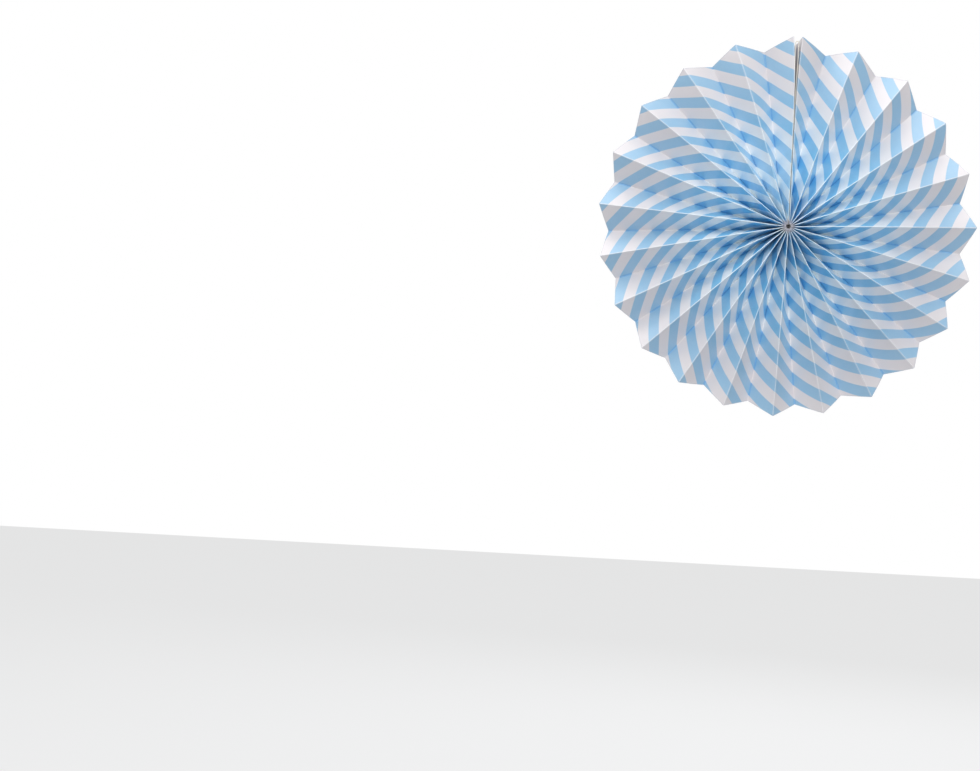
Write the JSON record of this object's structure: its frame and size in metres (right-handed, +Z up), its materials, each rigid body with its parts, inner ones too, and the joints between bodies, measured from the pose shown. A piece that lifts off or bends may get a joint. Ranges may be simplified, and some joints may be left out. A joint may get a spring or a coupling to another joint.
{
  "type": "paper fan rosette",
  "caption": "Round hanging party decoration: an accordion-folded strip of striped paper opened into a pleated disc, with a seam and a cord loop at the top.",
  "frame": {"origin": "on the axis of the ring, midway between the front and back folds at the hub", "axes": "-Y is the printed front, along the axis of the ring; +Z is up, towards the seam and the loop; +X is to the right seen from the front"},
  "size_m": [0.2994, 0.0327, 0.3],
  "materials": {
    "striped_paper": "matte, printed on the front with diagonal blue and white stripes",
    "tape": "thin double-sided film",
    "thread": "cotton thread",
    "cord": "twisted cotton cord"
  },
  "bodies": {
    "root": {"pleated_paper": "striped_paper", "seam_tape": "tape", "binding_thread": "thread", "hanging_cord": "cord", "cord_knot": "cord"}
  },
  "joints": []
}
